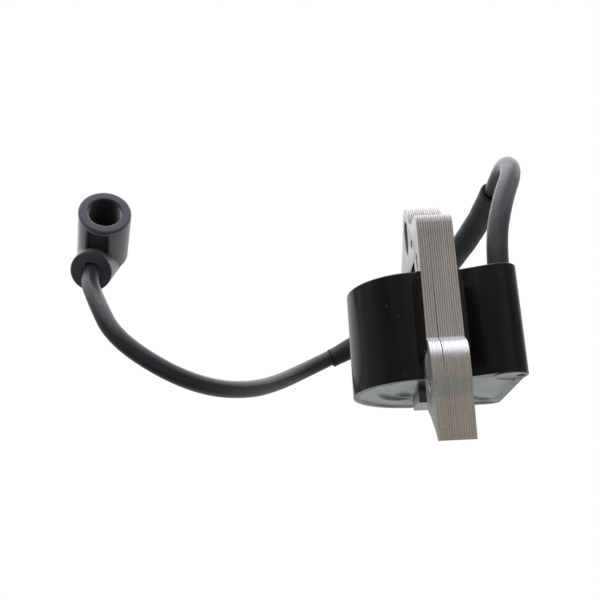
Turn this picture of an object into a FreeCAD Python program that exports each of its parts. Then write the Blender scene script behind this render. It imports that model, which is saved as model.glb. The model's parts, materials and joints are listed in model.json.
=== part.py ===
import FreeCAD, Part
import Sketcher
import math
import os

# Ignition coil for a small two-stroke engine: a riveted stack of steel plates with two legs, a potted
# cup of windings on the far leg, and a high-tension lead that ends in a rubber spark-plug boot.
#
# Millimetres. X runs across the stack of plates, Y away from the bare near leg, Z up to the ear.
# The origin is the centre of the ear's slot, in the middle of the stack.

Vec = FreeCAD.Vector
ALONG_X, ALONG_Y, ALONG_Z = Vec(1, 0, 0), Vec(0, 1, 0), Vec(0, 0, 1)

DIMS = {
    # steel core
    "plate_count": 16, "plate_pitch": 0.5, "plate_thick": 0.48,
    "near_front": -18.4, "near_back": -9.6, "far_front": 2.9, "far_back": 14.6,
    "yoke_under": -9.3, "near_top": -0.9, "corner_round": 2.8, "gap_round": 1.0,
    "near_slope_back": 0.8, "near_slope_rise": 0.6, "ear_root_y": -0.7, "ear_root_z": -1.3,
    "ear_rear_y": 9.0, "ear_rear_z": 0.8, "far_top": -2.2, "far_round": 0.9,
    "ear_radius": 6.2, "ear_rise": 1.0,
    "slot_width": 5.3, "slot_length": 8.5, "shoe_slot_y": -16.4, "shoe_slot_z": -37.2,
    "shoe_front": -22.1, "shoe_round": 4.7, "shoe_centre_z": -35.0, "shoe_flat_end": -40.0,
    "crease_y": -21.4, "crease_z": -43.5, "tip_y": -20.4,
    "pole_radius": 42, "pole_centre_y": 10.3, "pole_centre_z": -81,
    # rivets
    "rivet_yoke_y": -8, "rivet_yoke_z": -4.7, "rivet_leg_y": 8.7, "rivet_leg_z": -25,
    "rivet_radius": 1.1, "rivet_sink": 0.45,
    "key_y": -13.9, "key_z": -11.3, "key_width": 1.6, "key_length": 4,
    # how far the tools that cut through the stack start and end from its middle
    "through": 10,
    # cup
    "cup_left": -18.9, "cup_right": 18.5, "cup_near": -9.35, "cup_far": 22.9,
    "cup_top": -11.7, "cup_rim": -36.9, "cup_wall": 1.6, "cup_corner": 2.8, "cup_edge": 0.4,
    "hollow_corner": 1.2, "web_start": 5.6,
    "tube_gap": 0.15, "tube_wall": 1, "leg_half": 4,
    "rib_thick": 0.95, "rib_inner": 4.05, "rib_front": -18.2, "rib_bottom": -32.7,
    "rib_top": -14.9, "rooted": 0.5,
    "bridge_half": 5.15, "bridge_depth": 0.7,
    "column_x": 15, "column_y": -9, "column_radius": 3.9, "lead_depth": -18,
    "potting_level": -36.5,
    # windings: how far each layer stands off the leg tube
    "bobbin_in": 0.1, "bobbin_out": 0.8, "primary_out": 2.1, "primary_flange": 2.2,
    "secondary_in": 2.3, "secondary_core": 3, "secondary_out": 4.8, "secondary_flange": 5.2,
    "bobbin_bottom": -35.3, "bobbin_top": -15, "flange_thick": 0.8,
    "divider_z": -19.8, "secondary_bottom": -34.6, "secondary_top": -15.6,
    # circuit board and what is on it
    "board_left": -12.6, "board_thick": 1, "board_near": -1, "board_far": 14.5,
    "board_bottom": -35.5, "board_top": -17,
    "strap_near": 8, "strap_width": 2, "strap_thick": 0.3, "strap_low": -36.3,
    "wire_radius": 0.3, "wire_z": -35, "link_z": -32,
    "pin_radius": 0.8, "pin_low": -34.5, "pin_head_thick": 0.6,
    "resistor_radius": 0.8, "resistor_long": 5.5, "resistor_y": 1.2, "resistor_pitch": 2.1,
    "diode_radius": 1.1, "diode_long": 5, "diode_y": 9.6, "axial_foot": -33.5,
    "wire_y": 4, "wire_pitch": 2,
    # high-tension lead and sleeve
    "lead_radius": 2.5, "conductor_radius": 0.6, "sleeve_outer": 3.45, "sleeve_inner": 2.7,
    "sleeve_start": 63.5, "sleeve_end": 150.5,
    # boot
    "boot_radius": 7.7, "boot_reach": 22.1, "socket_radius": 4.8, "socket_depth": 13, "lead_in": 0.4,
    "chamber_radius": 3.6, "chamber_back": 1, "dome_radius": 7.0, "dome_along": 2.2,
    "neck_reach": 15.6, "neck_root": 6.4, "neck_radius": 6.2, "boot_edge": 0.6,
    "lead_stop": 6, "swivel_gap": 0.04, "flare": 0.3, "flare_depth": 2.6,
    "pocket_low": 8.5, "pocket_high": 20.3, "pocket_wide": 6.4, "pocket_floor": 5.8,
    "terminal_radius": 0.9, "terminal_start": 4.3, 
    "spring_radius": 2.7, "spring_wire": 0.35, "spring_turns": 5, "spring_pitch": 1.2, "spring_start": 1.6,
}

# The lead's route: corners of the runs that its centre line follows, from inside the cup's column, up
# and over, behind the coil, and forward to the boot.
LEAD_ROUTE = [
    (15, -9, -18), (15, -9, -6.5), (18.6, -6.2, 6), (24, 0.5, 17.2), (25.1, 12, 24.8),
    (23.9, 29, 21), (19, 45.5, 15.5), (12.5, 61, 10.5), (4.5, 73.5, 5), (-7, 82, -1.5),
    (-21, 84.5, -7), (-31, 80, -12.5), (-38.5, 70, -18), (-46, 57.5, -22.5), (-56, 44.5, -24.5),
    (-67.5, 34.5, -21.5), (-81, 31, -12), (-87, 35.5, 0), (-92, 45, 11), (-91.5, 56, 19.5),
]
BOOT_MOUTH = Vec(-86.1, 40.05, 28.95)

doc = FreeCAD.newDocument("ignition_coil")
sheet = doc.addObject("Spreadsheet::Sheet", "Dims")
for row, (alias, value) in enumerate(DIMS.items(), start=1):
    sheet.set(f"A{row}", alias)
    sheet.set(f"B{row}", str(value))
    sheet.setAlias(f"B{row}", alias)
doc.recompute()


def dim(alias):
    """The sheet's value for an alias."""
    return float(getattr(sheet, alias))


def bind(obj, prop, formula):
    """Ties a property to a formula whose words are aliases of the sheet."""
    words = []
    for word in str(formula).split():
        words.append(f"Dims.{word}" if word in DIMS else word)
    obj.setExpression(prop, " ".join(words))


def place(obj, x, y, z):
    for axis, formula in zip("xyz", (x, y, z)):
        bind(obj, f"Placement.Base.{axis}", formula)


def box(name, x, y, z):
    """A box between (low, high) formulas on each axis."""
    obj = doc.addObject("Part::Box", name)
    for prop, (low, high) in zip(("Length", "Width", "Height"), (x, y, z)):
        bind(obj, prop, f"( {high} ) - ( {low} )")
    place(obj, x[0], y[0], z[0])
    return obj


def cylinder(name, radius, height, base, axis=ALONG_Z):
    """A cylinder from its base, along an axis."""
    obj = doc.addObject("Part::Cylinder", name)
    obj.Placement.Rotation = FreeCAD.Rotation(ALONG_Z, axis)
    bind(obj, "Radius", radius)
    bind(obj, "Height", height)
    place(obj, *base)
    return obj


def cut(name, base, *tools):
    """Takes the tools from the base one after another; the last cut has the name."""
    obj = base
    for number, tool in enumerate(tools, start=1):
        last = number == len(tools)
        step = doc.addObject("Part::Cut", name if last else f"{name}_step_{number}")
        step.Base = obj
        step.Tool = tool
        obj = step
    return obj


def fuse(name, *shapes):
    obj = doc.addObject("Part::MultiFuse", name)
    obj.Shapes = list(shapes)
    return obj


def group(name, members):
    """Separate solids that share one node."""
    obj = doc.addObject("Part::Compound", name)
    obj.Links = list(members)
    return obj


def solid_feature(name, shape):
    obj = doc.addObject("Part::Feature", name)
    obj.Shape = shape
    return obj


def unit(vector):
    return Vec(vector).normalize()


# ---------------------------------------------------------------- steel core
def pole_height(y):
    """Height of the poles' concave arc, which wraps the flywheel, at a distance y."""
    reach = y - dim("pole_centre_y")
    return dim("pole_centre_z") + math.sqrt(dim("pole_radius") ** 2 - reach ** 2)


def on_circle(centre_y, centre_z, radius, degrees):
    angle = math.radians(degrees)
    return (centre_y + radius * math.cos(angle), centre_z + radius * math.sin(angle))


def plate_outline():
    """The plate's outline as (kind, points) steps in the Y-Z plane, from the near pole's tip."""
    front, near_back = dim("near_front"), dim("near_back")
    far_front, far_back = dim("far_front"), dim("far_back")
    round_in, round_out, under = dim("gap_round"), dim("corner_round"), dim("yoke_under")
    shoe_y, shoe_z, shoe_r = dim("shoe_front") + dim("shoe_round"), dim("shoe_centre_z"), dim("shoe_round")
    shoe_top = math.degrees(math.acos((front - shoe_y) / shoe_r))
    ear_r, ear_z = dim("ear_radius"), dim("ear_rise")
    near_top = dim("near_top")
    diag = 1 - math.sqrt(0.5)
    tip, near_mid, far_mid = dim("tip_y"), (dim("tip_y") + near_back) / 2, (far_front + far_back) / 2
    far_top, far_r = dim("far_top"), dim("far_round")
    ear_front, ear_rear = on_circle(0, ear_z, ear_r, 174), on_circle(0, ear_z, ear_r, 44)
    return [
        ("line", (dim("crease_y"), dim("crease_z"))),
        ("line", (dim("shoe_front"), dim("shoe_flat_end"))),
        ("line", (dim("shoe_front"), shoe_z)),
        ("arc", on_circle(shoe_y, shoe_z, shoe_r, (180 + shoe_top) / 2),
            on_circle(shoe_y, shoe_z, shoe_r, shoe_top)),
        ("line", (front, near_top - round_out)),
        ("arc", (front + diag * round_out, near_top - diag * round_out), (front + round_out, near_top)),
        ("line", (near_back + dim("near_slope_back"), near_top + dim("near_slope_rise"))),
        ("arc", (ear_front[0] + dim("ear_root_y"), ear_front[1] + dim("ear_root_z")), ear_front),
        ("arc", (0, ear_z + ear_r), ear_rear),
        ("line", (dim("ear_rear_y"), dim("ear_rear_z"))),
        ("line", (far_back - far_r, far_top)),
        ("arc", (far_back - diag * far_r, far_top - diag * far_r), (far_back, far_top - far_r)),
        ("line", (far_back, pole_height(far_back))),
        ("arc", (far_mid, pole_height(far_mid)), (far_front, pole_height(far_front))),
        ("line", (far_front, under - round_in)),
        ("arc", (far_front - diag * round_in, under - diag * round_in), (far_front - round_in, under)),
        ("line", (near_back + round_in, under)),
        ("arc", (near_back + diag * round_in, under - diag * round_in), (near_back, under - round_in)),
        ("line", (near_back, pole_height(near_back))),
        ("arc", (near_mid, pole_height(near_mid)), (tip, pole_height(tip))),
    ]


def plate_sketch():
    """The plate's closed outline in a sketch whose plane is Y-Z."""
    sketch = doc.addObject("Sketcher::SketchObject", "plate_sketch")
    sketch.Placement.Rotation = FreeCAD.Rotation(0.5, 0.5, 0.5, 0.5)
    start = Vec(dim("tip_y"), pole_height(dim("tip_y")), 0)
    here = start
    for kind, *points in plate_outline():
        points = [Vec(y, z, 0) for y, z in points]
        if kind == "line":
            sketch.addGeometry(Part.LineSegment(here, points[0]), False)
        else:
            sketch.addGeometry(Part.Arc(here, points[0], points[1]), False)
        here = points[-1]
    join_ends(sketch)
    return sketch


def join_ends(sketch):
    """Ties every element of a closed outline to the next one where their ends meet."""
    count = sketch.GeometryCount
    for number in range(count):
        following = (number + 1) % count
        for end in (1, 2):
            for start in (1, 2):
                if sketch.getPoint(number, end).isEqual(sketch.getPoint(following, start), 1e-6):
                    sketch.addConstraint(Sketcher.Constraint("Coincident", number, end, following, start))


def slot(name, centre_y, centre_z, width, length):
    """An upright obround that runs through the stack."""
    half = f"( {length} - {width} ) / 2"
    ends = []
    for sign in ("-", "+"):
        end = cylinder(f"{name}_end{len(ends)}", f"{width} / 2", "2 * through",
                       ("- through", centre_y, f"{centre_z} {sign} {half}"), ALONG_X)
        ends.append(end)
    middle = box(f"{name}_middle", ("- through", "through"),
                 (f"{centre_y} - {width} / 2", f"{centre_y} + {width} / 2"),
                 (f"{centre_z} - {half}", f"{centre_z} + {half}"))
    return fuse(name, middle, *ends)


RIVETS = [("rivet_yoke_y", "rivet_yoke_z"), ("rivet_leg_y", "rivet_leg_z")]
KEY = ("key_y", "key_z")


def rivet_shapes(name, radius, start, length):
    """A round bar across the stack at each rivet's place."""
    shapes = []
    for number, (y, z) in enumerate(RIVETS):
        shapes.append(cylinder(f"{name}_{number}", radius, length, (start, y, z), ALONG_X))
    return shapes


def core_laminations():
    sketch = plate_sketch()
    plates = []
    for number in range(DIMS["plate_count"]):
        plate = doc.addObject("Part::Extrusion", f"plate_{number:02d}")
        plate.Base = sketch
        plate.DirMode = "Custom"
        plate.Dir = ALONG_X
        plate.Solid = True
        bind(plate, "LengthFwd", "plate_thick")
        bind(plate, "Placement.Base.x", f"plate_pitch * ( {number} - plate_count / 2 )")
        plates.append(plate)
    tools = [
        slot("ear_slot", "0", "0", "slot_width", "slot_length"),
        slot("shoe_slot", "shoe_slot_y", "shoe_slot_z", "slot_width", "slot_length"),
        slot("key_hole", *KEY, "key_width", "key_length"),
    ]
    tools += rivet_shapes("rivet_hole", "rivet_radius", "- through", "2 * through")
    return cut("core_laminations", group("plates", plates), *tools)


def core_rivets():
    """Two round rivets and one flat key, sunk a little below both outer plates."""
    key = doc.addObject("Part::MultiCommon", "core_key")
    key.Shapes = [
        slot("key_blank", *KEY, "key_width", "key_length"),
        box("key_span", ("rivet_sink - leg_half", "leg_half - rivet_sink"),
            ("key_y - key_length", "key_y + key_length"), ("key_z - key_length", "key_z + key_length")),
    ]
    rivets = rivet_shapes("rivet", "rivet_radius", "rivet_sink - leg_half", "2 * ( leg_half - rivet_sink )")
    return group("core_rivets", rivets + [key])


# ---------------------------------------------------------------- cup
def d_block(name, inset, low, high):
    """A block of the cup's plan, round at its left end, moved in from the walls by an inset."""
    radius = "( cup_far - cup_near ) / 2"
    centre_x, centre_y = f"cup_left + {radius}", "( cup_far + cup_near ) / 2"
    end = cylinder(f"{name}_end", f"{radius} - {inset}", f"( {high} ) - ( {low} )",
                   (centre_x, centre_y, low))
    body = box(f"{name}_body", (centre_x, f"cup_right - {inset}"),
               (f"cup_near + {inset}", f"cup_far - {inset}"), (low, high))
    block = doc.addObject("Part::MultiFuse", name)
    block.Shapes = [end, body]
    block.Refine = True
    return block


def leg_tube_box(name, stand_off, low, high):
    return box(name, (f"- leg_half - {stand_off}", f"leg_half + {stand_off}"),
               (f"far_front - {stand_off}", f"far_back + {stand_off}"), (low, high))


def edges_where(obj, test):
    """Numbers of the edges whose every sampled point passes a test."""
    found = []
    for number, edge in enumerate(obj.Shape.Edges, start=1):
        if all(test(point) for point in edge.discretize(5)):
            found.append(number)
    return found


def fillet(name, base, radius_alias, test):
    doc.recompute()
    obj = doc.addObject("Part::Fillet", name)
    obj.Base = base
    obj.Edges = [(number, dim(radius_alias), dim(radius_alias)) for number in edges_where(base, test)]
    return obj


def rounded_d_block(name, inset, low, high, corner):
    """The D block with its far right corner rounded."""
    block = d_block(f"{name}_square", inset, low, high)
    corner_x, corner_y = dim("cup_right") - inset, dim("cup_far") - inset
    return fillet(name, block, corner, lambda p: abs(p.x - corner_x) < 0.01 and abs(p.y - corner_y) < 0.01)


def coil_cup(buried):
    """The black cup: closed top, open rim below, a tube for the far leg and a column for the lead."""
    wall = dim("cup_wall")
    top = dim("cup_top")
    blank = rounded_d_block("cup_blank", 0, "cup_rim", "cup_top", "cup_corner")
    hollow = rounded_d_block("cup_hollow", wall, "cup_rim - 1", "cup_top - cup_wall", "hollow_corner")
    column = cylinder("column", "column_radius", "cup_top - cup_rim", ("column_x", "column_y", "cup_rim"))
    shell = cut("cup_shell", fuse("cup_outside", blank, column, column_web()), hollow)
    tube = leg_tube_box("leg_tube", "( tube_gap + tube_wall )", "cup_rim", "cup_top - cup_edge")
    ribs = []
    for name, x in (("left_rib", ("- rib_inner - rib_thick", "- rib_inner")),
                    ("right_rib", ("rib_inner", "rib_inner + rib_thick"))):
        ribs.append(box(name, x, ("rib_front", "cup_near + rooted"), ("rib_bottom", "rib_top")))
    bridge = box("bridge", ("- bridge_half", "bridge_half"),
                 ("cup_near + rooted", "far_front - tube_gap - rooted"),
                 ("cup_rim", "cup_rim + bridge_depth"))
    inner_column = cylinder("inner_column", "column_radius", "cup_top - cup_rim - cup_edge",
                            ("column_x", "column_y", "cup_rim"))
    joined = fuse("cup_joined", shell, tube, bridge, inner_column, *ribs)
    joined.Refine = True
    leg_hole = leg_tube_box("leg_hole", "tube_gap", "cup_rim - 1", "cup_top + 1")
    lead_hole = cylinder("lead_hole", "lead_radius", "cup_top - lead_depth + 1",
                         ("column_x", "column_y", "lead_depth"))
    bored = cut("cup_bored", joined, leg_hole, lead_hole, *buried)
    return fillet("coil_cup", bored, "cup_edge", lambda p: abs(p.z - top) < 0.01 and outside_edge(p))


def column_web():
    """The flat web that runs from the near wall to the column, tangent to its round."""
    to_column = "sqrt( ( column_x - web_start ) ^ 2 + ( column_y - cup_near ) ^ 2 )"
    web = box("column_web", ("0", f"sqrt( {to_column} ^ 2 - column_radius ^ 2 )"), ("0", "column_radius"),
              ("cup_rim", "cup_top"))
    place(web, "web_start", "cup_near", "cup_rim")
    rise = "atan( ( column_y - cup_near ) / ( column_x - web_start ) )"
    bind(web, "Placement.Rotation.Angle", f"{rise} - asin( column_radius / {to_column} )")
    return web


def outside_edge(p):
    """Is a point of the top face on the cup's outer outline, away from the leg and the lead?"""
    at_leg = abs(p.x) < dim("leg_half") + 1 and dim("far_front") - 1 < p.y < dim("far_back") + 1
    to_lead = math.hypot(p.x - dim("column_x"), p.y - dim("column_y"))
    return not at_leg and abs(to_lead - dim("lead_radius")) > 0.1


def potting(cup, buried):
    """Epoxy that fills the cup round everything inside it, a little short of the rim."""
    fill = rounded_d_block("potting_block", dim("cup_wall"), "potting_level", "cup_top - cup_wall",
                           "hollow_corner")
    leg = leg_tube_box("potting_leg_hole", "tube_gap", "cup_rim - 1", "cup_top + 1")
    column = cylinder("potting_column_hole", "column_radius", "cup_top - cup_rim",
                      ("column_x", "column_y", "cup_rim"))
    return cut("potting", fill, cup, leg, column, *buried)


# ---------------------------------------------------------------- windings and circuit
def ring(name, inner, outer, low, high):
    """A rectangular ring round the leg tube, between two stand-offs from its outside."""
    tube = "tube_gap + tube_wall"
    return cut(name, leg_tube_box(f"{name}_out", f"( {tube} + {outer} )", low, high),
               leg_tube_box(f"{name}_in", f"( {tube} + {inner} )", f"{low} - 1", f"{high} + 1"))


def bobbin(name, inner, core, flange, low, high, flange_lows):
    """A rectangular spool: a wall round the leg with a flange at each listed height."""
    wall = ring(f"{name}_wall", inner, core, low, high)
    flanges = []
    for number, z in enumerate(flange_lows):
        flanges.append(ring(f"{name}_flange_{number}", inner, flange, z, f"{z} + flange_thick"))
    spool = fuse(name, wall, *flanges)
    spool.Refine = True
    return spool


def within_cup(name, shape):
    """Keeps only what stands clear of the inside of the cup's wall."""
    room = d_block(f"{name}_room", "( cup_wall + 0.1 )", "cup_rim", "cup_top")
    obj = doc.addObject("Part::MultiCommon", name)
    obj.Shapes = [shape, room]
    return obj


def windings():
    sections = 4
    span = "( secondary_top - secondary_bottom - flange_thick )"
    stops = [f"secondary_bottom + {number} / {sections} * {span}" for number in range(sections + 1)]
    coils = []
    for number in range(sections):
        coils.append(ring(f"secondary_section_{number}", "secondary_core", "secondary_out",
                          f"{stops[number]} + flange_thick", stops[number + 1]))
    spool = bobbin("secondary_spool", "secondary_in", "secondary_core", "secondary_flange",
                   "secondary_bottom", "secondary_top", stops)
    return [
        bobbin("primary_bobbin", "bobbin_in", "bobbin_out", "primary_flange", "bobbin_bottom",
               "bobbin_top", ["bobbin_bottom", "divider_z", "bobbin_top - flange_thick"]),
        ring("primary_winding", "bobbin_out", "primary_out", "bobbin_bottom + flange_thick", "divider_z"),
        ring("trigger_winding", "bobbin_out", "primary_out", "divider_z + flange_thick",
             "bobbin_top - flange_thick"),
        within_cup("secondary_bobbin", spool),
        within_cup("secondary_winding", group("secondary_coils", coils)),
    ]


def on_board(name, depth, y, z):
    """A boxy component on the board's left face."""
    return box(name, (f"board_left - {depth}", "board_left"), y, z)


def circuit():
    """The board, the components on its left face, and what ties it to the windings and the core."""
    board = box("circuit_board", ("board_left", "board_left + board_thick"), ("board_near", "board_far"),
                ("board_bottom", "board_top"))
    resistors = []
    for number in range(3):
        resistors.append(cylinder(f"resistor_{number}", "resistor_radius", "resistor_long",
                                  ("board_left - resistor_radius",
                                   f"resistor_y + {number} * resistor_pitch", "axial_foot")))
    diode = cylinder("flyback_diode", "diode_radius", "diode_long",
                     ("board_left - diode_radius", "diode_y", "axial_foot"))
    wires = []
    wire_length = "0 - board_left - board_thick - leg_half - tube_gap - tube_wall - primary_flange"
    for number in range(3):
        wires.append(cylinder(f"hookup_wire_{number}", "wire_radius", wire_length,
                              ("board_left + board_thick", f"wire_y + {number} * wire_pitch", "wire_z"),
                              ALONG_X))
    return [
        board,
        on_board("power_transistor", depth="2.8", y=("3.4", "10"), z=("-26.5", "-20.4")),
        on_board("driver_transistor", depth="1.6", y=("0.6", "3"), z=("-22.6", "-19.4")),
        on_board("timing_capacitor", depth="1.7", y=("11.2", "12.8"), z=("-26.8", "-21.8")),
        group("resistors", resistors),
        diode,
        box("ground_strap", ("board_left + board_thick", "- leg_half"),
            ("strap_near", "strap_near + strap_width"), ("strap_low", "strap_low + strap_thick")),
        group("hookup_wires", wires),
    ]


def tower_pin():
    """The pin under the lead, with a flat head against the lead's cut end."""
    shank = cylinder("pin_shank", "pin_radius", "lead_depth - pin_low", ("column_x", "column_y", "pin_low"))
    head = cylinder("pin_head", "2 * pin_radius", "pin_head_thick",
                    ("column_x", "column_y", "lead_depth - pin_head_thick"))
    pin = fuse("tower_pin", shank, head)
    pin.Refine = True
    return pin


def output_link():
    """The short wire that carries the secondary's output to the pin."""
    tube = dim("leg_half") + dim("tube_gap") + dim("tube_wall")
    start = Vec(tube + dim("secondary_out") + dim("wire_radius"), dim("far_front"), dim("link_z"))
    axis = Vec(dim("column_x"), dim("column_y"), dim("link_z")) - start
    wire = Part.makeCylinder(dim("wire_radius"), axis.Length, start, axis)
    pin_foot = Vec(dim("column_x"), dim("column_y"), dim("pin_low"))
    pin = Part.makeCylinder(dim("pin_radius"), dim("lead_depth") - dim("pin_low"), pin_foot)
    outside = [solid for solid in wire.cut(pin).Solids if solid.isInside(start + axis * 0.5, 0.01, True)]
    return solid_feature("output_link", outside[0])


# ---------------------------------------------------------------- lead and sleeve
def route_edges(points):
    """Straight runs joined by tangent arcs, each as large as its two runs allow; and the arcs' radii."""
    corners = [Vec(*point) for point in points]
    edges, radii, here = [], [], corners[0]
    for before, corner, after in zip(corners, corners[1:], corners[2:]):
        back, ahead = unit(before - corner), unit(after - corner)
        turn = math.pi - back.getAngle(ahead)
        shorter = min((before - corner).Length, (after - corner).Length)
        radius = 0.45 * shorter / math.tan(turn / 2)
        to_centre = radius / math.cos(turn / 2)
        inward = unit(back + ahead)
        start, end = corner + back * (0.45 * shorter), corner + ahead * (0.45 * shorter)
        edges.append(Part.LineSegment(here, start).toShape())
        edges.append(Part.Arc(start, corner + inward * (to_centre - radius), end).toShape())
        radii.append(radius)
        here = end
    edges.append(Part.LineSegment(here, corners[-1]).toShape())
    return edges, radii


def portion(edges, start, end):
    """The part of a chain of edges between two lengths along it."""
    kept, passed = [], 0.0
    for edge in edges:
        low, high = max(start - passed, 0.0), min(end - passed, edge.Length)
        if high - low > 1e-6:
            first, last = edge.getParameterByLength(low), edge.getParameterByLength(high)
            kept.append(edge.Curve.toShape(first, last))
        passed += edge.Length
    return kept


def pipe(edges, radius):
    """A round bar along a chain of tangent edges."""
    first = edges[0].FirstParameter
    start, direction = edges[0].valueAt(first), edges[0].tangentAt(first)
    section = Part.Wire([Part.makeCircle(radius, start, direction)])
    bar = Part.Wire(edges).makePipeShell([section], True, False)
    wanted = math.pi * radius ** 2 * sum(edge.Length for edge in edges)
    print(f"pipe radius {radius}: volume {bar.Volume:.1f}, section x length {wanted:.1f}")
    return bar


def lead_and_sleeve():
    edges, radii = route_edges(LEAD_ROUTE)
    length = sum(edge.Length for edge in edges)
    print("lead length", round(length, 1), "arc radii", [round(radius, 1) for radius in radii])
    covered = portion(edges, dim("sleeve_start"), dim("sleeve_end"))
    conductor = pipe(edges, dim("conductor_radius"))
    tube = pipe(covered, dim("sleeve_outer")).cut(pipe(covered, dim("sleeve_inner")))
    return [
        solid_feature("ht_lead", pipe(edges, dim("lead_radius")).cut(conductor)),
        solid_feature("ht_lead_conductor", conductor),
        solid_feature("lead_sleeve", tube),
    ]


# ---------------------------------------------------------------- boot
def boot_frame():
    """The elbow's centre, the neck's direction out to the lead and the barrel's out to the mouth."""
    prev, last = Vec(*LEAD_ROUTE[-2]), Vec(*LEAD_ROUTE[-1])
    neck = unit(prev - last)
    elbow = last - neck * dim("lead_stop")
    return elbow, neck, unit(BOOT_MOUTH - elbow)


def bar(radius, centre, axis, start, end):
    """A cylinder on an axis through a centre, from one distance along it to another."""
    return Part.makeCylinder(radius, end - start, centre + axis * start, axis)


def softened(shape, reach, centre, axis):
    """Rounds the edges of a bar or cone at one distance along its axis."""
    end = centre + axis * reach
    edges = [edge for edge in shape.Edges
             if all(abs((point - end).dot(axis)) < 0.01 for point in edge.discretize(5))]
    return shape.makeFillet(dim("boot_edge"), edges)


def pocket(elbow, neck, barrel):
    """The block that leaves a flat-floored recess in the barrel's side above the neck."""
    outward = unit(neck - barrel * neck.dot(barrel))
    across = barrel.cross(outward)
    corner = (elbow + outward * dim("pocket_floor") + barrel * dim("pocket_low")
              - across * (dim("pocket_wide") / 2))
    block = Part.makeBox(dim("boot_radius"), dim("pocket_wide"), dim("pocket_high") - dim("pocket_low"))
    block.Placement = FreeCAD.Placement(corner, FreeCAD.Rotation(outward, across, barrel, "XYZ"))
    return block


def plug_boot():
    """A short barrel over the plug, domed behind, with a tapered neck that the lead runs into."""
    elbow, neck, barrel = boot_frame()
    reach, neck_reach = dim("boot_reach"), dim("neck_reach")
    back = elbow + barrel * dim("dome_along")
    outside = bar(dim("boot_radius"), elbow, barrel, dim("dome_along"), reach)
    for end in (reach, dim("dome_along")):
        outside = softened(outside, end, elbow, barrel)
    outside = outside.cut(pocket(elbow, neck, barrel))
    taper = Part.makeCone(dim("neck_root"), dim("neck_radius"), neck_reach, elbow, neck)
    taper = softened(taper, neck_reach, elbow, neck)
    outside = outside.fuse([Part.makeSphere(dim("dome_radius"), back), taper]).removeSplitter()
    floor = reach - dim("socket_depth")
    socket = bar(dim("socket_radius"), elbow, barrel, floor, reach + 1)
    bevel = dim("lead_in")
    mouth_bevel = Part.makeCone(dim("socket_radius"), dim("socket_radius") + 2 * bevel, 2 * bevel,
                                elbow + barrel * (reach - bevel), barrel)
    chamber = bar(dim("chamber_radius"), elbow, barrel, -dim("chamber_back"), floor + 0.1)
    stop = dim("lead_stop")
    lead_bore = bar(dim("lead_radius") + dim("swivel_gap"), elbow, neck, stop - 0.3, neck_reach + 1)
    flare = Part.makeCone(dim("lead_radius"), dim("lead_radius") + dim("flare"), dim("flare_depth"),
                          elbow + neck * (neck_reach - dim("flare_depth")), neck)
    pin_bore = bar(dim("terminal_radius") + dim("swivel_gap"), elbow, neck, stop - 3, stop)
    hollows = [socket, mouth_bevel, chamber, lead_bore, flare, pin_bore]
    return solid_feature("plug_boot", outside.cut(hollows))


def terminal_pin():
    elbow, neck, _ = boot_frame()
    shape = bar(dim("terminal_radius"), elbow, neck, dim("terminal_start"), dim("lead_stop"))
    return solid_feature("terminal_pin", shape)


def terminal_spring():
    """The contact spring in the chamber behind the socket."""
    elbow, _, barrel = boot_frame()
    pitch, turns, radius = dim("spring_pitch"), dim("spring_turns"), dim("spring_radius")
    helix = Part.makeHelix(pitch, pitch * turns, radius)
    section = Part.Wire([Part.makeCircle(dim("spring_wire"), Vec(radius, 0, 0), ALONG_Y)])
    coil = Part.Wire(helix.Edges).makePipeShell([section], True, True)
    spring = solid_feature("terminal_spring", coil)
    spring.Placement = FreeCAD.Placement(elbow + barrel * dim("spring_start"),
                                         FreeCAD.Rotation(ALONG_Z, barrel))
    return spring


# ---------------------------------------------------------------- the whole coil
def build():
    laminations, rivets = core_laminations(), core_rivets()
    inner = windings() + circuit() + [tower_pin(), output_link()]
    cup = coil_cup([part for part in inner if part.Name in ("ground_strap", "tower_pin", "output_link")])
    nodes = [laminations, rivets, cup, potting(cup, inner)] + inner + lead_and_sleeve()
    return nodes + [plug_boot(), terminal_pin(), terminal_spring()]


def check_and_export(nodes):
    doc.recompute()
    for obj in doc.Objects:
        if "Invalid" in obj.State or "Error" in obj.State:
            raise RuntimeError(f"{obj.Name} failed: {obj.State}")
    os.makedirs("parts", exist_ok=True)
    for node in nodes:
        node.Label = node.Name
        if node.Shape.isNull() or not node.Shape.isValid():
            raise RuntimeError(f"{node.Name} has no valid shape")
        print(f"{node.Name}: {len(node.Shape.Solids)} solids, {node.Shape.Volume:.1f} mm3")
        node.Shape.exportStep(f"parts/{node.Name}.step")


check_and_export(build())
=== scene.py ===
import json
import math

import bmesh
import bpy
from mathutils import Euler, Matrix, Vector


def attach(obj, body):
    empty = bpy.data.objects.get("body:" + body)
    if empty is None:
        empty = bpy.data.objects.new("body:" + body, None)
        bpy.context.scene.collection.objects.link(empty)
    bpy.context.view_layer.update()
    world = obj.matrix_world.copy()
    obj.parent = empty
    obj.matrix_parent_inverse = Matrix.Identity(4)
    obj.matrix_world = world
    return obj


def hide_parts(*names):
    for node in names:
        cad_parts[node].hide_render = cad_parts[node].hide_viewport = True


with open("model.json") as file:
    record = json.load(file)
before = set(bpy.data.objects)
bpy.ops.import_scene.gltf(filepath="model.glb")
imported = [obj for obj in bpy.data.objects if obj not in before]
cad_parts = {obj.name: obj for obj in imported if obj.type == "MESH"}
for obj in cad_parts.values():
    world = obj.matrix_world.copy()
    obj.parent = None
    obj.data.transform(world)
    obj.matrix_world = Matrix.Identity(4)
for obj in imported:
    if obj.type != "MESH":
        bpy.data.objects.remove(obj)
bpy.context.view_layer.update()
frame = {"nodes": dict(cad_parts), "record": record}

MM = 0.001
scene = bpy.context.scene

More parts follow.
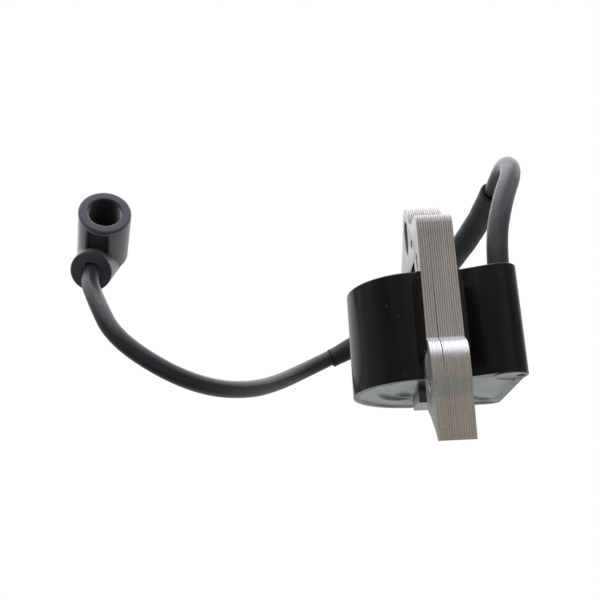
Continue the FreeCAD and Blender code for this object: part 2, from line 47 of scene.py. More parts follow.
# Sizes from part.py, in mm, that more than one piece or material needs.
PLATES = 16
PLATE_THICK = 0.5
STACK_HALF = PLATES * PLATE_THICK / 2
RESIN_LEVEL = -36.5  # z of the potting's open face
COLUMN = (15.0, -9.0, 3.9)  # x, y and inner radius of the lead's column
BOOT_RADIUS = 7.7
SOCKET_HALF = 6.3  # half the length of the boot's socket


# ---------------------------------------------------------------- camera

LENS = 54.0
SENSOR = 36.0
CAMERA_AT = Vector((-31.58, -202.46, -80.68)) * MM
PITCH = 18.17
YAW = -0.33
ROLL = -2.85


def make_camera():
    data = bpy.data.cameras.new("camera")
    data.lens = LENS
    data.sensor_width = SENSOR
    data.clip_start = 0.01
    camera = bpy.data.objects.new("camera", data)
    scene.collection.objects.link(camera)
    level = Euler((math.radians(90 + PITCH), 0, math.radians(YAW)), "XYZ").to_matrix()
    roll = Euler((0, 0, math.radians(ROLL)), "XYZ").to_matrix()
    camera.matrix_world = (level @ roll).to_4x4()
    camera.location = CAMERA_AT
    scene.camera = camera


# ---------------------------------------------------------------- pieces and meshes


def link(name, mesh, body):
    made = bpy.data.objects.new(name, mesh)
    scene.collection.objects.link(made)
    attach(made, body)
    return made


def copy_node(node, name, body):
    """A new piece with a copy of a CAD node's mesh, since the node's own is never changed."""
    return link(name, frame["nodes"][node].data.copy(), body)


def mesh_from(name, verts, faces, smooth=True):
    mesh = bpy.data.meshes.new(name)
    mesh.from_pydata([tuple(v) for v in verts], [], faces)
    mesh.validate()
    for face in mesh.polygons:
        face.use_smooth = smooth
    return mesh


def apply_modifiers(piece):
    graph = bpy.context.evaluated_depsgraph_get()
    mesh = bpy.data.meshes.new_from_object(piece.evaluated_get(graph))
    piece.modifiers.clear()
    piece.data = mesh


def clean(mesh):
    """Joins the split points of an imported mesh and melts its flat triangles together."""
    merge, flat = 0.002 * MM, math.radians(0.5)
    work = bmesh.new()
    work.from_mesh(mesh)
    bmesh.ops.remove_doubles(work, verts=work.verts, dist=merge)
    bmesh.ops.dissolve_limit(work, angle_limit=flat, verts=work.verts, edges=work.edges)
    work.to_mesh(mesh)
    work.free()


def bevel_edges(mesh, width):
    """Rounds every edge whose faces turn by more than the angle below."""
    turn = math.radians(35)
    work = bmesh.new()
    work.from_mesh(mesh)
    sharp = [e for e in work.edges if len(e.link_faces) == 2 and e.calc_face_angle(0) > turn]
    bmesh.ops.bevel(
        work, geom=sharp, offset=width, segments=2, profile=0.5, affect="EDGES", clamp_overlap=True
    )
    for face in work.faces:
        face.smooth = True
    work.to_mesh(mesh)
    work.free()


def rgba(value):
    """A colour with its alpha; one number stands for a grey."""
    return (value, value, value, 1) if isinstance(value, (int, float)) else (*value, 1)


def smoothstep(low, high, value):
    t = min(max((value - low) / (high - low), 0.0), 1.0)
    return t * t * (3 - 2 * t)


# ---------------------------------------------------------------- materials


def add_node(tree, kind, sockets=None, **settings):
    """Adds a shader node. A socket takes a value, or another node's output, which is linked to it."""
    node = tree.nodes.new("ShaderNode" + kind)
    for key, value in settings.items():
        setattr(node, key, value)
    for key, value in (sockets or {}).items():
        if isinstance(value, bpy.types.NodeSocket):
            tree.links.new(value, node.inputs[key])
        else:
            node.inputs[key].default_value = value
    return node


def smooth_range(tree, value, low, high, start, end):
    """Goes smoothly from start to end as the value goes from low to high."""
    limits = {"From Min": low, "From Max": high, "To Min": start, "To Max": end}
    node = add_node(tree, "MapRange", {"Value": value, **limits}, interpolation_type="SMOOTHSTEP")
    return node.outputs["Result"]


class Paint:
    """A material under construction: its Principled shader and short ways to add nodes."""

    def __init__(self, name, rough=0.5, metallic=0.0, **plain):
        self.material = bpy.data.materials.new(name)
        self.material.use_nodes = True
        self.tree = self.material.node_tree
        self.shader = self.tree.nodes["Principled BSDF"]
        self.shader.inputs["Roughness"].default_value = rough
        self.shader.inputs["Metallic"].default_value = metallic
        for socket, value in plain.items():
            self.shader.inputs[socket.replace("_", " ")].default_value = value
        self.coords = self.add("TexCoord").outputs["Object"]

    def add(self, kind, sockets=None, **settings):
        return add_node(self.tree, kind, sockets, **settings)

    def axis(self, name):
        return self.add("SeparateXYZ", {"Vector": self.coords}).outputs[name]

    def stretched(self, scale, turn=(0, 0, 0)):
        """The coordinates scaled by axis and turned by degrees, for streaks and scratches."""
        rotation = [math.radians(angle) for angle in turn]
        sockets = {"Vector": self.coords, "Scale": scale, "Rotation": rotation}
        return self.add("Mapping", sockets).outputs["Vector"]

    def noise(self, scale, detail=3.0, rough=0.55, vector=None):
        sockets = {
            "Vector": vector or self.coords,
            "Scale": scale,
            "Detail": detail,
            "Roughness": rough,
        }
        return self.add("TexNoise", sockets).outputs["Fac"]

    def ramp(self, value, *stops):
        """stops are (place, colour) pairs; a colour may be one grey number."""
        node = self.add("ValToRGB", {"Fac": value})
        points = node.color_ramp.elements
        while len(points) < len(stops):
            points.new(0.5)
        for point, (place, colour) in zip(points, stops):
            point.position = place
            point.color = rgba(colour)
        return node.outputs["Color"]

    def math(self, operation, a, b=0.0, clamp=False):
        return self.add("Math", {0: a, 1: b}, operation=operation, use_clamp=clamp).outputs[0]

    def vector(self, operation, a, b, output="Vector"):
        return self.add("VectorMath", {0: a, 1: b}, operation=operation).outputs[output]

    def between(self, value, low, high, start, end):
        return smooth_range(self.tree, value, low, high, start, end)

    def mix(self, fac, a, b, blend="MIX"):
        node = self.add("Mix", data_type="RGBA", blend_type=blend)
        for place, value in ((0, fac), (6, a), (7, b)):
            if isinstance(value, bpy.types.NodeSocket):
                self.tree.links.new(value, node.inputs[place])
            else:
                node.inputs[place].default_value = value if place == 0 else rgba(value)
        return node.outputs[2]

    def colour(self, value):
        self.tree.links.new(value, self.shader.inputs["Base Color"])

    def roughness(self, value):
        self.tree.links.new(value, self.shader.inputs["Roughness"])

    def bump(self, height, distance, strength=1.0, under=None):
        node = self.add("Bump", {"Height": height, "Distance": distance, "Strength": strength})
        if under is not None:
            self.tree.links.new(under, node.inputs["Normal"])
        self.tree.links.new(node.outputs["Normal"], self.shader.inputs["Normal"])
        return node.outputs["Normal"]


# The edge tones of the stack, by height, are painted reflections. A tint multiplies the steel's colour
# from its place down, standing in for the light that each band of the edge reflects.
GROUND_SMOOTH = (-32.5 * MM, -30.5 * MM)
TOP_REFLECTION_TINT = (0.95, 0.985, 1.045)
EDGE_REFLECTION_TINTS = (  # (place, how softly it begins, tint)
    (-4.5 * MM, 1.0 * MM, (0.88, 0.87, 0.815)),
    (-33.0 * MM, 2.0 * MM, (1.22, 1.20, 1.12)),
    (-39.5 * MM, 1.0 * MM, (1.10, 1.19, 1.17)),
    (-43.4 * MM, 0.2 * MM, (1.36, 1.25, 1.13)),
)
# The painted highlight band on the shoe's rounded top, where the light from above catches it. It fades
# in over the first height range and out over the second.
HIGHLIGHT_FOOT = (-36.3 * MM, -33.0 * MM)
HIGHLIGHT_TOP = (-30.5 * MM, -29.8 * MM)
STAINED = (-36.0 * MM, -32.0 * MM)
# Heights of the painted shade on the far leg's end, behind the near leg.
FAR_SHADE_HEIGHTS = (-34.0 * MM, -32.0 * MM)
BETWEEN_LEGS = (0.0, 1.0 * MM)  # y, in front of the far leg and behind the near one


def plate_shade(paint, spread):
    """A slightly different grey for every plate of the stack, by its place across it."""
    plate = paint.math("FLOOR", paint.math("DIVIDE", paint.axis("X"), PLATE_THICK * MM))
    noise = paint.add("TexWhiteNoise", {"W": plate}, noise_dimensions="1D").outputs["Value"]
    return paint.ramp(noise, (0.0, 1.0 - spread), (1.0, 1.0))


def plate_seams(paint):
    """Grime between plates: 1 in a seam, 0 on a plate, and faint where the shoe is ground smooth."""
    off_seam = paint.math("PINGPONG", paint.math("DIVIDE", paint.axis("X"), PLATE_THICK * MM), 0.5)
    seam = paint.between(off_seam, 0.05, 0.24, 1.0, 0.0)
    worn = paint.between(paint.axis("Z"), *GROUND_SMOOTH, 0.06, 1.0)
    return paint.math("MULTIPLY", seam, worn)


def steel_face():
    """Cold-rolled sheet: pale grey, satin, with faint rolling lines and stains, duller on the shoe."""
    paint = Paint("core_face", rough=0.4, metallic=0.9)
    stain = paint.ramp(paint.noise(230, 4), (0.3, 0.86), (0.62, 1.0))
    rolled = paint.noise(1, 3, vector=paint.stretched((700, 700, 60)))
    base = paint.ramp(rolled, (0.3, (0.50, 0.505, 0.50)), (0.7, (0.60, 0.605, 0.60)))
    low = paint.between(paint.axis("Z"), *STAINED, 1.0, 0.0)
    dulled = paint.mix(low, (1.0, 1.0, 1.0), (0.72, 0.73, 0.71))
    paint.colour(paint.mix(1.0, paint.mix(1.0, base, stain, "MULTIPLY"), dulled, "MULTIPLY"))
    paint.roughness(paint.ramp(paint.noise(900, 3), (0.3, 0.32), (0.75, 0.46)))
    paint.bump(rolled, 0.00002, 0.3)
    return paint.material


def far_leg_shade(paint, height):
    """Painted shade on the far leg's end, behind the near leg: on its sides below the cup, and not on
    its downward-facing pole face.
    """
    facing = paint.add("NewGeometry").outputs["Normal"]
    upward = paint.add("SeparateXYZ", {"Vector": facing}).outputs["Z"]
    far = paint.between(paint.axis("Y"), *BETWEEN_LEGS, 0.0, 1.0)
    low = paint.math("MULTIPLY", far, paint.between(height, *FAR_SHADE_HEIGHTS, 1.0, 0.0))
    return paint.math("MULTIPLY", low, paint.between(upward, -0.6, -0.4, 0.0, 1.0))


def steel_edge():
    """Stamped edges: dull streaked grey, dark seams between plates, painted reflections by height,
    painted shade on the far leg's end, and a painted highlight band on the shoe's rounded top.
    """
    paint = Paint("core_edge", rough=0.4, metallic=0.85)
    streaks = paint.noise(1, 2, 0.5, vector=paint.stretched((3000, 60, 45)))
    cross = paint.noise(1, 2, 0.5, vector=paint.stretched((700, 2600, 4200)))
    base = paint.ramp(streaks, (0.3, (0.42, 0.392, 0.375)), (0.7, (0.50, 0.47, 0.452)))
    ticks = paint.ramp(cross, (0.35, 0.86), (0.6, 1.0))
    patches = paint.ramp(paint.noise(120, 3), (0.35, (0.95, 0.93, 0.915)), (0.65, 1.0))
    shaded = paint.mix(1.0, base, plate_shade(paint, 0.07), "MULTIPLY")
    dulled = paint.mix(1.0, paint.mix(1.0, shaded, patches, "MULTIPLY"), ticks, "MULTIPLY")
    grime = paint.math("MULTIPLY", plate_seams(paint), 0.6)
    soiled = paint.mix(grime, dulled, (0.10, 0.085, 0.075))
    height = paint.axis("Z")
    # Painted reflections: the edge's colour tinted band by band, by height.
    tint = TOP_REFLECTION_TINT
    for place, soft, colour in EDGE_REFLECTION_TINTS:
        tint = paint.mix(paint.between(height, place - soft, place, 1.0, 0.0), tint, colour)
    # Painted shade: the far leg's end, behind the near leg, darkened to a dim grey-green.
    tint = paint.mix(far_leg_shade(paint, height), tint, (0.30, 0.31, 0.27))
    tinted = paint.mix(1.0, soiled, tint, "MULTIPLY")
    # Painted highlight: a pale lilac band on the shoe's rounded top.
    above = paint.between(height, *HIGHLIGHT_FOOT, 0.0, 1.0)
    below = paint.between(height, *HIGHLIGHT_TOP, 1.0, 0.0)
    bright = paint.mix(0.12, (0.86, 0.85, 0.89), streaks, "MULTIPLY")
    paint.colour(paint.mix(paint.math("MULTIPLY", above, below), tinted, bright))
    paint.roughness(paint.ramp(cross, (0.3, 0.38), (0.75, 0.48)))
    paint.bump(cross, 0.000006, 0.3)
    return paint.material


def rivet_steel():
    paint = Paint("rivet_steel", rough=0.4, metallic=0.9)
    paint.colour(paint.ramp(paint.noise(700, 3), (0.3, (0.30, 0.30, 0.30)), (0.7, (0.48, 0.48, 0.47))))
    paint.bump(paint.noise(2500, 3), 0.00002, 0.4)
    return paint.material


def cup_plastic():
    """Glossy black moulded plastic with faint flow marks, dust and a few light scratches."""
    paint = Paint("cup_plastic", rough=0.2, IOR=1.42)
    flow = paint.noise(1, 3, vector=paint.stretched((240, 240, 28)))
    dust = paint.ramp(paint.noise(1500, 2, 0.8), (0.68, 0.0), (0.78, 1.0))
    slanted = paint.noise(1, 2, vector=paint.stretched((1100, 1100, 130), (20, 35, 0)))
    marks = paint.ramp(slanted, (0.745, 0.0), (0.775, 1.0))
    base = paint.ramp(flow, (0.3, (0.0022, 0.0021, 0.002)), (0.7, (0.0078, 0.0064, 0.0054)))
    wear = paint.math("MAXIMUM", dust, marks, clamp=True)
    paint.colour(paint.mix(paint.math("MULTIPLY", wear, 0.5), base, (0.09, 0.09, 0.088)))
    paint.roughness(paint.mix(wear, paint.ramp(flow, (0.3, 0.16), (0.7, 0.27)), 0.5))
    smooth = paint.bump(flow, 0.00006, 0.5)
    paint.bump(paint.noise(4200, 2), 0.000006, 0.25, smooth)
    return paint.material


# Near-black matt spots beside the lead's column: (x, y, radius) in mm, centred on the potting's open
# face.
BLACK_SPOTS = ((17.2, -9.0, 0.95), (16.2, -4.3, 1.15), (17.4, -4.3, 1.15))
BLACK_SPOT_SOFT = 0.15


def potting_resin():
    """Cured epoxy: dark grey under a clean gloss, with slow swells, pinholes and a few near-black matt
    spots.
    """
    paint = Paint("potting_epoxy", rough=0.12, IOR=1.6)
    cloud = paint.noise(110, 3)
    holes = paint.ramp(paint.noise(1900, 2, 0.7), (0.70, 1.0), (0.78, 0.3))
    base = paint.ramp(cloud, (0.3, (0.039, 0.047, 0.048)), (0.7, (0.078, 0.089, 0.090)))
    off_black_spots = 1.0
    for x, y, radius in BLACK_SPOTS:
        centre = (x * MM, y * MM, RESIN_LEVEL * MM)
        away = paint.vector("DISTANCE", paint.coords, centre, "Value")
        outside = paint.between(away, radius * MM, (radius + BLACK_SPOT_SOFT) * MM, 0.0, 1.0)
        off_black_spots = paint.math("MULTIPLY", off_black_spots, outside)
    paint.colour(paint.mix(off_black_spots, (0.001, 0.001, 0.001), paint.mix(1.0, base, holes, "MULTIPLY")))
    gloss = paint.ramp(paint.noise(260, 3), (0.3, 0.09), (0.7, 0.17))
    paint.roughness(paint.mix(off_black_spots, 0.9, gloss))
    paint.bump(cloud, 0.0001, 0.25)
    return paint.material


def rubber(name, dark, light, rough, grain, sheen, shade=None):
    """Rubber: matt, slightly uneven, with a fine skin. shade darkens it in places."""
    paint = Paint(name, rough=rough, IOR=1.48, Sheen_Weight=sheen, Sheen_Roughness=0.45)
    cloud = paint.noise(120, 4, 0.6)
    specks = paint.ramp(paint.noise(2600, 2, 0.7), (0.6, 1.0), (0.8, 1.25))
    colour = paint.mix(1.0, paint.ramp(cloud, (0.3, dark), (0.72, light)), specks, "MULTIPLY")
    if shade:
        colour = paint.mix(1.0, colour, shade(paint), "MULTIPLY")
    paint.colour(colour)
    paint.roughness(paint.ramp(paint.noise(700, 3), (0.3, rough - 0.06), (0.7, rough + 0.08)))
    paint.bump(paint.noise(grain, 3, 0.65), 0.00003, 0.4)
    return paint.material


def boot_recess_shade(paint):
    """Painted shade: near black inside the socket and in the pocket above the neck, where these recesses
    lie in shade.
    """
    socket = next(m for m in frame["record"]["mounts"] if m["name"] == "plug_socket")
    out = paint.vector("SUBTRACT", paint.coords, socket["pos_m"])
    along = paint.vector("DOT_PRODUCT", out, socket["axis"], "Value")
    across = paint.vector("CROSS_PRODUCT", out, socket["axis"])
    radius = paint.add("VectorMath", {0: across}, operation="LENGTH").outputs["Value"]
    inner = paint.between(radius, (BOOT_RADIUS - 0.9) * MM, (BOOT_RADIUS - 0.3) * MM, 1.0, 0.0)
    below_mouth = paint.between(along, (SOCKET_HALF - 1.2) * MM, (SOCKET_HALF - 0.2) * MM, 1.0, 0.0)
    above_neck = paint.between(along, -9.5 * MM, -8 * MM, 0.0, 1.0)
    bore = paint.between(radius, 5.0 * MM, 5.3 * MM, 1.0, 0.0)
    hidden = paint.math("MAXIMUM", bore, paint.math("MULTIPLY", inner, below_mouth))
    return paint.ramp(paint.math("MULTIPLY", hidden, above_neck), (0.0, 1.0), (1.0, 0.03))


def winding_wire():
    """Enamelled copper, with its turns as fine ridges round the leg."""
    paint = Paint("copper_wire", rough=0.3, metallic=0.9)
    sockets = {"Vector": paint.coords, "Scale": 800.0, "Distortion": 0.4}
    turns = paint.add("TexWave", sockets, bands_direction="Z").outputs["Fac"]
    paint.colour(paint.ramp(turns, (0.2, (0.20, 0.065, 0.02)), (0.8, (0.62, 0.26, 0.10))))
    paint.bump(turns, 0.00006, 0.8)
    return paint.material


def mottled(name, dark, light, rough, metallic=0.0, scale=600):
    """A plain finish that varies a little from place to place, for the pieces that stay inside."""
    paint = Paint(name, rough=rough, metallic=metallic)
    paint.colour(paint.ramp(paint.noise(scale, 3), (0.3, dark), (0.7, light)))
    paint.roughness(paint.ramp(paint.noise(scale * 2, 2), (0.3, rough - 0.05), (0.7, rough + 0.08)))
    paint.bump(paint.noise(scale * 4, 2), 0.00001, 0.4)
    return paint.material


def dress(node, material):
    """Puts one material on a CAD node, which keeps its shape."""
    piece = frame["nodes"][node]
    piece.data.materials.clear()
    piece.data.materials.append(material)


def dress_inner_nodes():
    copper = winding_wire()
    bobbin = mottled("bobbin_plastic", (0.030, 0.030, 0.032), (0.045, 0.045, 0.047), 0.45)
    chip = mottled("component_black", (0.012, 0.012, 0.013), (0.022, 0.022, 0.023), 0.38)
    choices = {
        "core_rivets": rivet_steel(),
        "primary_bobbin": bobbin,
        "secondary_bobbin": bobbin,
        "primary_winding": copper,
        "trigger_winding": copper,
        "secondary_winding": copper,
        "circuit_board": mottled("board", (0.10, 0.075, 0.03), (0.16, 0.125, 0.055), 0.5, scale=900),
        "power_transistor": chip,
        "driver_transistor": chip,
        "timing_capacitor": mottled("capacitor_film", (0.30, 0.10, 0.03), (0.42, 0.15, 0.05), 0.35),
        "resistors": mottled("resistor_body", (0.45, 0.33, 0.20), (0.58, 0.44, 0.28), 0.4),
        "flyback_diode": mottled("diode_glass", (0.25, 0.05, 0.02), (0.40, 0.10, 0.04), 0.2),
        "ground_strap": mottled("tinned_strap", (0.55, 0.55, 0.54), (0.70, 0.70, 0.69), 0.3, 1.0),
        "hookup_wires": mottled("wire_insulation", (0.28, 0.02, 0.02), (0.38, 0.03, 0.03), 0.45),
        "tower_pin": mottled("brass_pin", (0.58, 0.42, 0.16), (0.72, 0.54, 0.24), 0.28, 1.0),
        "output_link": mottled("tinned_link", (0.55, 0.55, 0.54), (0.70, 0.70, 0.69), 0.3, 1.0),
        "ht_lead_conductor": mottled("tinned_copper", (0.50, 0.47, 0.43), (0.68, 0.65, 0.60), 0.35, 1.0),
        "terminal_pin": mottled("plated_pin", (0.50, 0.50, 0.48), (0.66, 0.66, 0.64), 0.3, 1.0),
        "terminal_spring": mottled("spring_steel", (0.36, 0.36, 0.37), (0.55, 0.55, 0.56), 0.28, 1.0),
    }
    for node, material in choices.items():
        dress(node, material)


# ---------------------------------------------------------------- the lead and what is on it

LEAD_RADIUS = 2.5 * MM
SLEEVE_OUTSIDE = 3.45 * MM
SLEEVE_INSIDE = 2.7 * MM
SLEEVE_FROM = 63.5 * MM
SLEEVE_TO = 150.5 * MM

# The lead's route in mm, as in part.py: from its seat in the cup's column, out of the top, over,
# behind the cup and round to the boot.
LEAD_ROUTE = (
    (15, -9, -18),
    (15, -9, -6.5),
    (18.6, -6.2, 6),
    (24, 0.5, 17.2),
    (25.1, 12, 24.8),
    (23.9, 29, 21),
    (19, 45.5, 15.5),
    (12.5, 61, 10.5),
    (4.5, 73.5, 5),
    (-7, 82, -1.5),
    (-21, 84.5, -7),
    (-31, 80, -12.5),
    (-38.5, 70, -18),
    (-46, 57.5, -22.5),
    (-56, 44.5, -24.5),
    (-67.5, 34.5, -21.5),
    (-81, 31, -12),
    (-87, 35.5, 0),
    (-92, 45, 11),
    (-91.5, 56, 19.5),
)


def route_curve(name):
    curve = bpy.data.curves.new(name, "CURVE")
    curve.dimensions = "3D"
    curve.resolution_u = 24
    spline = curve.splines.new("NURBS")
    spline.points.add(len(LEAD_ROUTE) - 1)
    for point, place in zip(spline.points, LEAD_ROUTE):
        point.co = (*(Vector(place) * MM), 1)
    spline.order_u = 3
    spline.use_endpoint_u = True
    return curve


def route_points():
    """Points read from the route's own spline, in order, for the pieces along it."""
    holder = bpy.data.objects.new("route_probe", route_curve("route_probe"))
    scene.collection.objects.link(holder)
    bpy.context.view_layer.update()
    mesh = bpy.data.meshes.new_from_object(holder)
    points = [v.co.copy() for v in mesh.vertices]
    bpy.data.objects.remove(holder)
    return points


def stretch_of(points, start, end, step):
    """The stretch of a line of points from one length along it to another, evenly divided."""
    lengths = [0.0]
    for a, b in zip(points, points[1:]):
        lengths.append(lengths[-1] + (b - a).length)
    count = max(2, round((end - start) / step))
    found, i = [], 0
    for k in range(count + 1):
        wanted = start + (end - start) * k / count
        while i < len(lengths) - 2 and lengths[i + 1] < wanted:
            i += 1
        t = (wanted - lengths[i]) / (lengths[i + 1] - lengths[i])
        found.append(points[i].lerp(points[i + 1], t))
    return found


def sweep(name, line, profile):
    """A closed skin round a line, from rings in order: (fraction along it, radius, drop below it)."""
    sides = 48
    tangents = []
    for i in range(len(line)):
        tangents.append((line[min(i + 1, len(line) - 1)] - line[max(i - 1, 0)]).normalized())
    side = tangents[0].orthogonal().normalized()
    frames = []
    for tangent in tangents:
        side = (side - tangent * side.dot(tangent)).normalized()
        frames.append((side, tangent.cross(side)))
    verts = []
    for fraction, radius, drop in profile:
        at = fraction * (len(line) - 1)
        i = min(int(at), len(line) - 2)
        u, v = frames[min(round(at), len(frames) - 1)]
        centre = line[i].lerp(line[i + 1], at - i) + Vector((0, 0, -drop))
        for k in range(sides):
            angle = 2 * math.pi * k / sides
            verts.append(centre + (u * math.cos(angle) + v * math.sin(angle)) * radius)
    faces = []
    for r in range(len(profile)):
        below, above = r * sides, (r + 1) % len(profile) * sides
        for k in range(sides):
            after = (k + 1) % sides
            faces.append((below + k, below + after, above + after, above + k))
    return mesh_from(name, verts, faces)


def make_lead(material):
    curve = route_curve("lead")
    curve.bevel_depth = LEAD_RADIUS
    curve.bevel_resolution = 8
    curve.use_fill_caps = True
    curve.materials.append(material)
    lead = bpy.data.objects.new("lead", curve)
    scene.collection.objects.link(lead)
    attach(lead, "coil")
    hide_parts("ht_lead")
    return lead


def make_sleeve(points, material):
    """A loose tube over the lead: square-cut and open at its top, drawn onto the lead at its foot."""
    line = stretch_of(points, SLEEVE_FROM, SLEEVE_TO, 1.0 * MM)
    long = SLEEVE_TO - SLEEVE_FROM
    wall = SLEEVE_OUTSIDE - SLEEVE_INSIDE
    lip, squeeze, stretch, sag = 0.2 * MM, 0.5 * MM, 0.15 * MM, 0.36 * MM
    taper_from, taper_to = 11 * MM, 1 * MM
    steps = 110
    outer, inner = [], []
    for i in range(steps + 1):
        t = lip / long + (1 - 2 * lip / long) * i / steps
        left = (1 - t) * long
        wave = (0.05 * math.sin(i * 0.31) + 0.03 * math.sin(i * 0.68 + 1)) * MM
        drawn = smoothstep(taper_from, taper_to, left)
        radius = SLEEVE_OUTSIDE + wave - squeeze * drawn
        drop = sag * drawn
        outer.append((t, radius, drop))
        inner.append((t, radius - wall + stretch * drawn, drop))
    first = [(0.0, inner[0][1] + lip, 0.0), (0.0, outer[0][1] - lip, 0.0)]
    last = [(1.0, outer[-1][1] - lip, outer[-1][2]), (1.0, inner[-1][1] + lip, inner[-1][2])]
    sleeve = link("sleeve", sweep("sleeve", line, first + outer + last + inner[::-1]), "coil")
    sleeve.data.materials.append(material)
    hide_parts("lead_sleeve")
    return sleeve


def make_boot(material):
    """The CAD boot's shape with its joins melted into each other, as moulded rubber has them."""
    boot = copy_node("plug_boot", "boot", "boot")
    remesh = boot.modifiers.new("remesh", "REMESH")
    remesh.mode = "VOXEL"
    remesh.voxel_size = 0.22 * MM
    soften = boot.modifiers.new("soften", "SMOOTH")
    soften.factor = 0.5
    soften.iterations = 4
    apply_modifiers(boot)
    for face in boot.data.polygons:
        face.use_smooth = True
    boot.data.materials.clear()
    boot.data.materials.append(material)
    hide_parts("plug_boot")
    return boot


# ---------------------------------------------------------------- the core


GAP_AFTER = 5  # plates on the left of the open gap
JITTER = 0.012  # how far a plate stands proud of its neighbours or behind them, in mm


def plate_drift(index, z):
    """How far a plate has sprung aside, in mm: a gap open at the shoe, and the last plate loose."""
    open_here = smoothstep(-24, -31, z) * (1 - smoothstep(-34, -39, z))
    loose = smoothstep(-3, -9, z) * (1 - smoothstep(-16, -22, z))
    drift = 0.006 * math.sin(index * 2.4)
    if index < GAP_AFTER:
        drift -= 0.16 * open_here
    if index == PLATES - 1:
        drift += 0.2 * loose
    return drift


def make_plates(face_material, edge_material):
    """Every plate with rounded stamped edges, sitting a little proud of or behind its neighbours."""
    core = copy_node("core_laminations", "core_plates", "coil")
    clean(core.data)
    bevel_edges(core.data, 0.035 * MM)
    for vertex in core.data.vertices:
        place = vertex.co / MM
        index = min(max(int((place.x + STACK_HALF) / PLATE_THICK), 0), PLATES - 1)
        vertex.co.x += plate_drift(index, place.z) * MM
        vertex.co.y += JITTER * MM * math.sin(index * 4.1 + 0.5)
        vertex.co.z += JITTER * MM * math.sin(index * 2.9 + 1.7)
    core.data.materials.clear()
    core.data.materials.append(face_material)
    core.data.materials.append(edge_material)
    for face in core.data.polygons:
        face.material_index = 0 if abs(face.normal.x) > 0.9 else 1
    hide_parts("core_laminations")


# ---------------------------------------------------------------- the cup's filling

# The cup's inside in mm: a half round at its left, as (x, y, radius), and three flat walls.
CUP_INSIDE = {"left": (-2.775, 6.775, 14.525), "right": 16.9, "near": -7.75, "far": 21.3}
TUBE = (5.15, 1.75, 15.75)  # the tube for the far leg: half its width, its front y and its back y
INTO_WALL = 0.45  # how far the surface runs into a wall
CREEP_HEIGHT = 0.34  # how far the resin climbs a wall
CREEP_REACH = 0.7  # how far from the wall it does so
SWELL = 0.05
PROUD = 0.04  # the surface's clearance from the CAD face below it


def wall_distance(x, y):
    """How far a point of the filling is from the nearest wall, in mm; below zero inside a wall."""
    cx, cy, radius = CUP_INSIDE["left"]
    if x < cx:
        inside = radius - math.hypot(x - cx, y - cy)
    else:
        inside = min(CUP_INSIDE["right"] - x, y - CUP_INSIDE["near"], CUP_INSIDE["far"] - y)
    half, front, back = TUBE
    outside_tube = max(abs(x) - half, front - y, y - back)
    outside_bridge = max(abs(x) - half, CUP_INSIDE["near"] - y, y - front)
    outside_column = math.hypot(x - COLUMN[0], y - COLUMN[1]) - COLUMN[2]
    return min(inside, outside_tube, outside_bridge, outside_column)


# Where the resin ran and set, in mm: centre x, centre y, direction in degrees, half length,
# half width, height.
RIDGES = (
    (-9.4, 10.6, 30, 4.2, 1.1, 0.75),
    (-6.6, 7.6, -15, 1.7, 1.2, 0.7),
    (12.4, 16.4, 40, 3.2, 0.9, 0.6),
    (2.2, 18.6, 4, 4.2, 0.6, 0.3),
)


def ridge(x, y, centre_x, centre_y, degrees, half_length, half_width, height):
    """How far one long soft drip stands out at a point."""
    turn = math.radians(degrees)
    along = (x - centre_x) * math.cos(turn) + (y - centre_y) * math.sin(turn)
    aside = (y - centre_y) * math.cos(turn) - (x - centre_x) * math.sin(turn) + 0.06 * along * along
    return height * math.exp(-((along / half_length) ** 4) - (aside / half_width) ** 2)


def make_column_foot(material):
    """The lead column's open end: resin a little below a raised lip."""
    x, y, radius = COLUMN
    # (radius, how far below the origin), from the middle out
    profile = ((0.6, 36.93), (2.9, 36.94), (3.2, 37.0), (3.4, 37.11), (3.6, 37.13), (3.8, 37.03))
    profile += ((radius, 36.85),)
    sides = 64
    verts = []
    for ring, drop in profile:
        for k in range(sides):
            angle = 2 * math.pi * k / sides
            verts.append(Vector((x + ring * math.cos(angle), y + ring * math.sin(angle), -drop)) * MM)
    faces = [tuple(range(sides))]
    for r in range(len(profile) - 1):
        inner, outer = r * sides, (r + 1) * sides
        for k in range(sides):
            after = (k + 1) % sides
            faces.append((inner + k, outer + k, outer + after, inner + after))
    foot = link("column_foot", mesh_from("column_foot", verts, faces), "coil")
    foot.data.materials.append(material)


def make_resin_surface(material):
    """The filling's surface: it creeps up every wall, and sags and swells gently in between."""
    step = 0.25
    x0, y0, x1, y1 = -17.6, -8.3, 17.3, 21.7
    columns, rows = round((x1 - x0) / step), round((y1 - y0) / step)
    verts, index, faces = [], {}, []
    for i in range(columns + 1):
        for j in range(rows + 1):
            x, y = x0 + i * step, y0 + j * step
            distance = wall_distance(x, y)
            if distance < -INTO_WALL:
                continue
            climb = CREEP_HEIGHT * math.exp(-max(distance, 0) / CREEP_REACH)
            swell = SWELL * math.sin(x * 0.55 + 1) * math.sin(y * 0.4)
            runs = sum(ridge(x, y, *shape) for shape in RIDGES)
            index[i, j] = len(verts)
            verts.append(Vector((x, y, RESIN_LEVEL - PROUD - climb + swell - runs)) * MM)
    for i, j in index:
        corners = [(i, j), (i, j + 1), (i + 1, j + 1), (i + 1, j)]
        if all(c in index for c in corners):
            faces.append([index[c] for c in corners])
    surface = link("resin_surface", mesh_from("resin_surface", verts, faces), "coil")
    surface.data.materials.append(material)


# ---------------------------------------------------------------- stage and light


def make_floor():
    half, level = 0.6, -0.13
    corners = [(-half, -half, level), (half, -half, level), (half, half, level), (-half, half, level)]
    mesh = mesh_from("floor", corners, [(0, 1, 2, 3)], smooth=False)
    floor = bpy.data.objects.new("floor", mesh)
    scene.collection.objects.link(floor)
    paper = mottled("floor_paper", (0.82, 0.82, 0.82), (0.86, 0.86, 0.86), 0.8, scale=30)
    floor.data.materials.append(paper)
    floor.visible_diffuse = False
    floor.visible_glossy = False


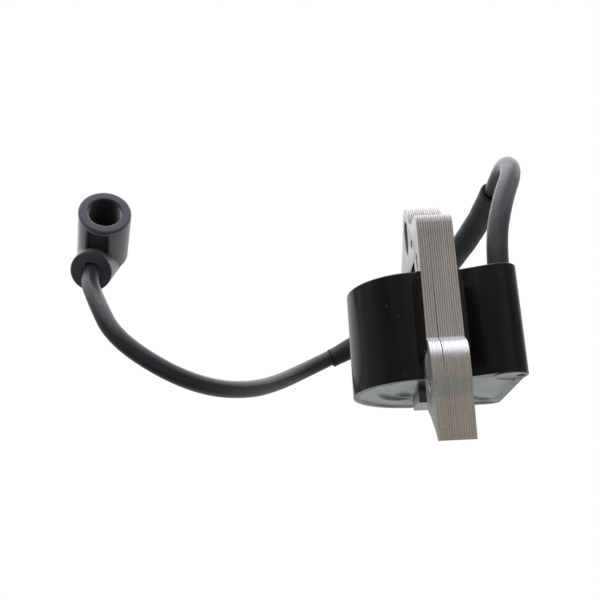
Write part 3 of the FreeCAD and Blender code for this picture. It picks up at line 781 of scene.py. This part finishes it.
def make_world():
    """White to the eye. As light: a bright sky and wall behind, a warm dim front, a cool table."""
    world = bpy.data.worlds.new("studio")
    scene.world = world
    world.use_nodes = True
    tree = world.node_tree
    tree.nodes.clear()

    def add(kind, sockets=None, **settings):
        return add_node(tree, kind, sockets, **settings)

    direction = add("SeparateXYZ", {"Vector": add("TexCoord").outputs["Generated"]})

    def wash(axis, low, high, start, end):
        """A brightness that goes from start to end as the direction's axis goes from low to high."""
        return smooth_range(tree, direction.outputs[axis], low, high, start, end)

    def tinted(brightness, colour):
        return add("VectorMath", {0: colour, "Scale": brightness}, operation="SCALE").outputs[0]

    behind, higher = wash("Y", 0.1, 0.75, 0.0, 1.0), wash("Z", 0.1, 0.38, 0.55, 0.95)
    wall = add("Math", {0: behind, 1: higher}, operation="MULTIPLY")
    total = (0.01, 0.01, 0.01)
    for part in (
        tinted(wash("Z", 0.36, 0.62, 0.0, 1.3), (0.94, 0.93, 1.0)),
        tinted(wall.outputs[0], (0.97, 0.98, 1.0)),
        tinted(wash("Y", -0.5, -0.95, 0.0, 0.23), (1.0, 0.90, 0.82)),
        tinted(wash("Z", -0.04, -0.14, 0.0, 0.25), (0.85, 1.0, 1.0)),
        tinted(wash("X", -0.8, -1.0, 0.0, 0.3), (1.0, 1.0, 1.0)),
        tinted(wash("X", 0.6, 0.95, 0.0, 0.3), (1.0, 1.0, 1.0)),
    ):
        total = add("VectorMath", {0: part, 1: total}, operation="ADD").outputs[0]
    lit = add("Background", {"Color": total, "Strength": 1.0})
    seen = add("Background", {"Color": (1, 1, 1, 1), "Strength": 1.0})
    camera_ray = add("LightPath").outputs["Is Camera Ray"]
    choose = add("MixShader", {0: camera_ray, 1: lit.outputs[0], 2: seen.outputs[0]})
    add("OutputWorld", {"Surface": choose.outputs[0]})


def area_light(name, place, target, size, power, glossy=True):
    data = bpy.data.lights.new(name, "AREA")
    data.shape = "RECTANGLE"
    data.size, data.size_y = size
    data.energy = power
    light = bpy.data.objects.new(name, data)
    scene.collection.objects.link(light)
    light.location = Vector(place)
    light.rotation_euler = (Vector(target) - light.location).to_track_quat("-Z", "Y").to_euler()
    light.visible_camera = False
    light.visible_glossy = glossy


def make_lights():
    area_light("top", (-0.05, 0.05, 0.6), (0, 0, 0), (0.6, 0.4), 1.2)
    area_light("key", (-0.12, -0.45, 0.4), (-0.02, 0, -0.02), (0.35, 0.35), 3.2, glossy=False)


# ---------------------------------------------------------------- the scene

make_camera()
make_world()
make_lights()
make_floor()
scene.view_settings.view_transform = "Standard"
scene.cycles.use_denoising = True

lead_rubber = rubber(
    "lead_rubber", (0.0085, 0.0078, 0.0105), (0.0135, 0.0125, 0.0165), 0.38, grain=3000, sheen=0.04
)
sleeve_rubber = rubber(
    "sleeve_rubber", (0.0055, 0.0065, 0.0065), (0.0095, 0.0105, 0.0105), 0.5, grain=1800, sheen=0.0
)
# The boot's rubber, with painted shade in its socket and its pocket.
boot_rubber = rubber(
    "boot_rubber",
    (0.0225, 0.021, 0.032),
    (0.031, 0.029, 0.044),
    0.42,
    grain=2200,
    sheen=0.65,
    shade=boot_recess_shade,
)

lead = make_lead(lead_rubber)
sleeve = make_sleeve(route_points(), sleeve_rubber)
boot = make_boot(boot_rubber)
make_plates(steel_face(), steel_edge())
dress_inner_nodes()
dress("coil_cup", cup_plastic())
resin = potting_resin()
dress("potting", resin)
make_resin_surface(resin)
make_column_foot(resin)
